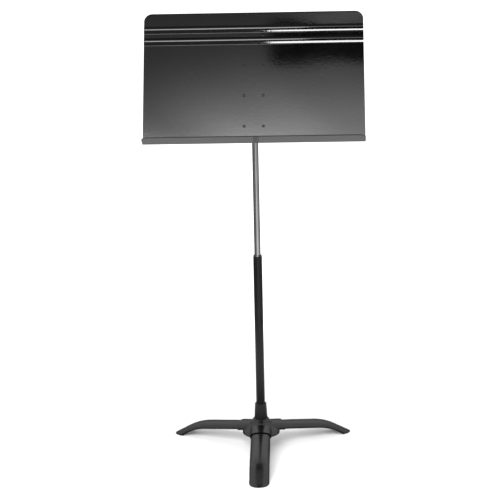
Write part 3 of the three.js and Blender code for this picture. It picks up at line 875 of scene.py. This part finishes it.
def leg_channel(name):
    """The leg's section swept down the ridge, and on from the bend to the floor."""
    outer = arch(LEG_HALF, 0, LEG_HEIGHT)
    outline = outer + arch(LEG_HALF - LEG_SHEET, LEG_SHEET, LEG_HEIGHT)[::-1]
    count = len(outline)
    stations = whole_ridge()
    vertices = along(stations, outline)
    foot = vertices[-count:]
    shares = (0.35, 0.7, 1.0)
    for share in shares:
        for out, side, up in foot:
            run = up / math.tan(FOOT_SLOPE)
            vertices.append((out + run * share, side, up - up * share))
    rows = len(stations) + len(shares)
    faces = wrapped(rows, count)
    for start in (0, (rows - 1) * count):
        faces += [
            [start + i, start + i + 1, start + count - 2 - i, start + count - 1 - i]
            for i in range(count // 2 - 1)
        ]
    return new_object(name, vertices, faces)


def turned_by(angle):
    return Matrix.Rotation(math.radians(angle), 4, "Z")


def legs():
    for side, angle in LEGS.items():
        obj = leg_channel(f"leg_{side}_channel")
        bevelled(obj, 0.7 * MM, 3, 45)
        obj.data.transform(AXIS @ turned_by(angle))
        piece(smooth(obj, 40), "base", BASE_ENAMEL, [f"leg_{side}"])
        glide = frame["nodes"][f"foot_glide_{side}"]
        glide.data.materials.clear()
        glide.data.materials.append(RUBBER)


def solid_arch(name, margin, deep, start, end, angle):
    """A leg's arch, grown by a margin and carried down, as a plain solid."""
    half = LEG_HALF + margin
    outline = [(half, deep)] + arch(half, -margin, LEG_HEIGHT) + [(-half, deep)]
    count = len(outline)
    vertices = along(straight_ridge(start, end), outline)
    obj = new_object(name, vertices, wrapped(2, count) + end_caps(2, count))
    obj.data.transform(turned_by(angle))
    return obj


def base_hub():
    """A pressed cover: three lobes over the legs' inner ends, webbed together under a collar."""
    margin = GAP + LEG_SHEET
    reach = 58 * MM
    low = 43 * MM
    web = [(0, low), (45.5 * MM, low), (43 * MM, 50 * MM), (31 * MM, 61 * MM), (22 * MM, 73 * MM)]
    web += [(18.2 * MM, 80 * MM), (0, 80 * MM)]
    body = turned("hub_cover", web)
    for angle in LEGS.values():
        lobe = solid_arch("lobe", margin, LEG_HEIGHT + 1.5 * MM, 2 * MM, reach + 4 * MM, angle)
        combined(body, [lobe], "UNION")
    remesh = body.modifiers.new("blend", "REMESH")
    remesh.mode = "VOXEL"
    remesh.voxel_size = 0.9 * MM
    with_modifiers(body)
    relax = body.modifiers.new("relax", "SMOOTH")
    relax.factor = 0.5
    relax.iterations = 14
    with_modifiers(body)
    hollow = [(0, 20 * MM), (43 * MM, 20 * MM), (43 * MM, low), (40.5 * MM, 49 * MM)]
    hollow += [(26 * MM, 61 * MM), (0, 64 * MM)]
    wide = 100 * MM
    below = [(-wide, -wide), (wide, -wide), (wide, wide), (-wide, wide)]
    collar = 15.8 * MM
    cuts = [rod(collar, 0, 2 * wide), turned("cut", hollow), prism("cut", below, 0, low)]
    cuts += [
        solid_arch("cut", 0.15 * MM, 60 * MM, 0, reach + 30 * MM, angle) for angle in LEGS.values()
    ]
    combined(body, cuts, "DIFFERENCE")
    combined(body, [rod(reach, 0, wide, sides=128)], "INTERSECT")
    body.data.transform(AXIS)
    return piece(smooth(body, 45), "base", BASE_ENAMEL, ["base_hub"])


def hub_socket():
    """A tapered sleeve, with a ledge inside that the outer tube stands on."""
    low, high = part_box("hub_socket")
    bore, ledge, seat, outer = 10.6 * MM, 9.3 * MM, 49.7 * MM, 15.5 * MM
    profile = [(ledge, low.z), (outer, low.z), (outer, 82 * MM)]
    profile += [(13.7 * MM, high.z), (bore, high.z), (bore, seat), (ledge, seat)]
    radii = [0.3 * MM, 0.3 * MM, 6 * MM, 1.1 * MM, 0.4 * MM, 0, 0]
    obj = turned("socket_sleeve", filleted(profile, radii, steps=6), AXIS, closed=True)
    return piece(smooth(obj), "base", BASE_ENAMEL, ["hub_socket"])


# ---- studio ----
FRONT_FLOOR = 0.68  # how bright gloss sees the floor before the stand
NEAR_FLOOR = 0.76  # and beside and behind it
CARD_LIGHT = 6.9
HOOD_LIGHT = 0.15
FLOOR_HALF = 40
CARD_HEIGHT = 2.5
UPRIGHT = Matrix.Rotation(math.pi / 2, 4, "X")
# (from, to, level at from, level at to) for a direction's part along each axis
SKY_RAMPS = {"Z": (0.2, 0.75, 0.95, 1.2), "Y": (-0.2, 0.9, 1.0, 0.8)}


class Glow(Finish):
    """An emissive studio surface, whose brightness varies over its own coordinates."""

    def __init__(self, name, albedo=0.0):
        super().__init__(name, Roughness=1.0, Specular_IOR_Level=0.0)
        self.shader.inputs["Base Color"].default_value = (albedo, albedo, albedo, 1)
        self.shader.inputs["Emission Color"].default_value = (1, 1, 1, 1)

    def eased(self, value, low, high, to_low=0.0, to_high=1.0):
        result = self.spread(value, low, high, to_low, to_high)
        result.node.interpolation_type = "SMOOTHSTEP"
        return result

    def times(self, *values):
        total = values[0]
        for value in values[1:]:
            total = self.math("MULTIPLY", total, value)
        return total

    def distance(self):
        """Distance along the floor from the shaft's axis."""
        made = self.node("ShaderNodeVectorMath", operation="DISTANCE")
        self.link(self.place, made.inputs[0])
        made.inputs[1].default_value = (0, SHAFT_Y, 0)
        return made.outputs["Value"]

    def lit(self, strength):
        self.link(strength, self.shader.inputs["Emission Strength"])
        return self.material


def card(name, half_x, half_y, where, material, seen_in, turn=Matrix.Identity(4)):
    """A flat stage card that only some kinds of ray see, level unless it is turned."""
    corners = [(-half_x, -half_y, 0), (half_x, -half_y, 0), (half_x, half_y, 0), (-half_x, half_y, 0)]
    obj = new_object(name, corners, [[0, 1, 2, 3]])
    obj.data.transform(Matrix.Translation(where) @ turn)
    obj.data.materials.append(material)
    obj.visible_camera = "camera" in seen_in
    obj.visible_diffuse = "diffuse" in seen_in
    obj.visible_glossy = "glossy" in seen_in
    obj.visible_transmission = False
    obj.visible_shadow = "shadow" in seen_in
    return obj


def floors():
    """The white floor, with painted light in its glow: weak by the stand, so that the shade round the
    base stays deep, and strong far off, where it washes out the desk's cast shadow. Just below it lies
    the floor that gloss reflects, which falls off to grey and has painted shade close round the base.
    """
    white = Glow("floor_white", 0.5)
    # Painted light: the floor glows 0.13 by the stand and 0.8 far off, keeping the shade round the
    # base deep and washing out the desk's shadow behind it.
    far = white.eased(white.distance(), 0.3, 1.0, 0.13, 0.8)
    seen_in = "camera diffuse shadow"
    card("studio_floor", FLOOR_HALF, FLOOR_HALF, (0, 0, 0), white.lit(far), seen_in)
    glow = Glow("floor_reflected")
    x, y, _ = glow.parts(glow.place)
    distance = glow.distance()
    # Painted shade: the reflected floor darkens to 0.15 close round the base, standing in for the
    # shade there that gloss would show.
    near = glow.times(
        glow.eased(distance, 0.7, 1.5, 1.0, 0.0),
        glow.eased(distance, 0.22, 0.50, 0.15, 1.0),
        glow.eased(y, -0.2, 0.4, FRONT_FLOOR, NEAR_FLOOR),
    )
    front = glow.times(
        glow.eased(y, -0.3, -1.2), glow.eased(x, -1.2, -0.2), glow.eased(x, 2.4, 0.8)
    )
    right = glow.times(glow.eased(x, 0.2, 1.6, 0.14, 0.30), glow.eased(y, 0.5, -0.1, 0.2, 1.0))
    rest = glow.math("MAXIMUM", right, glow.times(front, FRONT_FLOOR))
    total = glow.math("MAXIMUM", near, rest)
    where = (0, 0, -2 * MM)
    card("reflected_floor", FLOOR_HALF, FLOOR_HALF, where, glow.lit(total), "glossy")


def ceiling_card():
    """What the desk's gloss shows: a soft light that fades upwards, and a dark bay on the right."""
    glow = Glow("ceiling_light")
    x, y, _ = glow.parts(glow.place)
    into = glow.spread(y, SHAFT_Y - 1.05, SHAFT_Y - 1.64)
    into.node.clamp = False
    rise = glow.math("POWER", glow.math("MAXIMUM", into, 0.0), 2.4)
    left = glow.eased(x, -0.48, -0.06, 0.40, 1.0)
    right = glow.eased(x, -0.02, 0.36, 1.0, 0.62)
    soft = glow.times(rise, left, right, CARD_LIGHT)
    level = glow.math("ADD", soft, glow.eased(x, -0.1, 0.35, 0.42, 0.7))
    level = glow.math("ADD", level, glow.eased(y, SHAFT_Y - 1.25, SHAFT_Y - 1.1, 0.0, 0.13))
    strip = glow.times(
        glow.eased(x, 0.0, 0.2), glow.eased(y, SHAFT_Y - 1.11, SHAFT_Y - 1.085, 0.0, 0.7)
    )
    level = glow.math("ADD", level, strip)
    bay = glow.times(
        glow.eased(x, -0.04, 0.03),
        glow.eased(y, SHAFT_Y - 1.095, SHAFT_Y - 1.11),
        glow.eased(y, SHAFT_Y - 1.30, SHAFT_Y - 1.25),
    )
    edge = glow.eased(y, SHAFT_Y - 1.03, SHAFT_Y - 1.045, 0.2, 1.0)
    lit = glow.times(level, edge, glow.math("SUBTRACT", 1.0, bay))
    card("ceiling_card", 1.4, 0.33, (0, SHAFT_Y - 1.35, CARD_HEIGHT), glow.lit(lit), "glossy")


def walls():
    """Dim cards that only gloss sees: before the stand, over the ribs, and low behind the base."""
    glow = Glow("wall_before")
    dim = glow.eased(glow.parts(glow.place)[0], -0.08, 0.02, 0.3, 0.0)
    where = (0, SHAFT_Y - 1.78, 1.73)
    card("wall_before", 1.2, 0.76, where, glow.lit(dim), "glossy", UPRIGHT)
    hood = Glow("hood")
    hood.shader.inputs["Emission Strength"].default_value = HOOD_LIGHT
    card("hood", 0.29, 0.13, (0, 0.22, 1.10), hood.material, "glossy")
    card("hood_far", 0.6, 0.46, (0.05, SHAFT_Y - 0.56, CARD_HEIGHT), hood.material, "glossy")
    glow = Glow("wall_behind")
    dim = glow.eased(glow.parts(glow.place)[2], 0.2, 1.9, 0.15, 0.8)
    half_high = 0.95
    where = (0, SHAFT_Y + 2.6, half_high)
    card("wall_behind", 4, half_high, where, glow.lit(dim), "glossy", UPRIGHT)


def area_light(name, where, aim, size, radiance, seen_in, only_on=()):
    """A soft box, seen by one kind of ray; only_on limits it to the objects that it is there for."""
    data = bpy.data.lights.new(name, "AREA")
    data.shape = "RECTANGLE"
    data.size, data.size_y = size
    data.energy = radiance * math.pi * size[0] * size[1]
    obj = bpy.data.objects.new(name, data)
    bpy.context.scene.collection.objects.link(obj)
    obj.location = where
    obj.rotation_mode = "QUATERNION"
    obj.rotation_quaternion = (Vector(aim) - Vector(where)).to_track_quat("-Z", "Y")
    obj.visible_camera = False
    obj.visible_diffuse = seen_in == "diffuse"
    obj.visible_glossy = seen_in == "glossy"
    if only_on:
        receivers = bpy.data.collections.new(name + "_receivers")
        for lit in only_on:
            receivers.objects.link(lit)
        obj.light_linking.receiver_collection = receivers
    return obj


def sky():
    """Pale surround, brighter overhead and dimmer behind the stand."""
    world = bpy.data.worlds.new("studio")
    bpy.context.scene.world = world
    world.use_nodes = True
    tree = world.node_tree
    coordinates = tree.nodes.new("ShaderNodeTexCoord")
    parts = tree.nodes.new("ShaderNodeSeparateXYZ")
    tree.links.new(coordinates.outputs["Generated"], parts.inputs[0])
    levels = []
    for axis, numbers in SKY_RAMPS.items():
        ramp = tree.nodes.new("ShaderNodeMapRange")
        ramp.interpolation_type = "SMOOTHSTEP"
        for key, number in zip(RAMP_SOCKETS, numbers):
            ramp.inputs[key].default_value = number
        tree.links.new(parts.outputs[axis], ramp.inputs["Value"])
        levels.append(ramp.outputs["Result"])
    product = tree.nodes.new("ShaderNodeMath")
    product.operation = "MULTIPLY"
    for level, target in zip(levels, product.inputs):
        tree.links.new(level, target)
    background = tree.nodes["Background"]
    tree.links.new(product.outputs[0], background.inputs["Strength"])
    background.inputs["Color"].default_value = (1, 1, 1, 1)


def studio():
    """Floor, cards and sky, strips for the desk's ribs, a glint on the cap, and the floor's shadow."""
    bpy.context.scene.view_settings.view_transform = "Standard"
    sky()
    floors()
    ceiling_card()
    walls()
    named = bpy.data.objects
    desk, cap, floor = [named["desk_sheet"]], [named["clutch_shoulder"]], [named["studio_floor"]]
    area_light("strip_right", (0.33, -1.6, 1.22), (0.33, 0, 1.0), (0.66, 0.39), 26, "glossy", desk)
    area_light("strip_left", (-0.35, -1.6, 2.26), (-0.2, 0, 1.0), (0.9, 0.36), 10, "glossy", desk)
    area_light("glint", (0.0, -1.6, 2.2), (0, 0, 0.5), (1.4, 1.8), 60, "glossy", cap)
    area_light("key", (-0.7, -3.1, 2.6), (0, 0, 0), (2.4, 1.4), 31, "diffuse", floor)


LENS = 131.1
SENSOR = 36
CAMERA_PLACE = (0.1373, SHAFT_Y - 4.1419, 1.6353)
CAMERA_TURN = math.radians(2.14)
CAMERA_PITCH = math.radians(15.31)
CAMERA_ROLL = math.radians(-1.29)


def camera():
    """Long lens, above the desk and to its right, looking down and a little left, slightly rolled."""
    data = bpy.data.cameras.new("camera")
    data.sensor_width = SENSOR
    data.lens = LENS
    obj = bpy.data.objects.new("camera", data)
    bpy.context.scene.collection.objects.link(obj)
    ahead = math.cos(CAMERA_PITCH)
    forward = Vector(
        (-math.sin(CAMERA_TURN) * ahead, math.cos(CAMERA_TURN) * ahead, -math.sin(CAMERA_PITCH))
    )
    level = Vector((math.cos(CAMERA_TURN), math.sin(CAMERA_TURN), 0))
    upright = level.cross(forward)
    right = math.cos(CAMERA_ROLL) * level + math.sin(CAMERA_ROLL) * upright
    up = math.cos(CAMERA_ROLL) * upright - math.sin(CAMERA_ROLL) * level
    turned_to = Matrix((right, up, -forward)).transposed()
    obj.matrix_world = Matrix.Translation(CAMERA_PLACE) @ turned_to.to_4x4()
    bpy.context.scene.camera = obj


camera()
desk_panel()
rivets()
desk_bracket()
neck_half = pivot_pieces()
neck_head(neck_half)
shaft_pieces()
tube_pieces()
legs()
hub_socket()
base_hub()
studio()
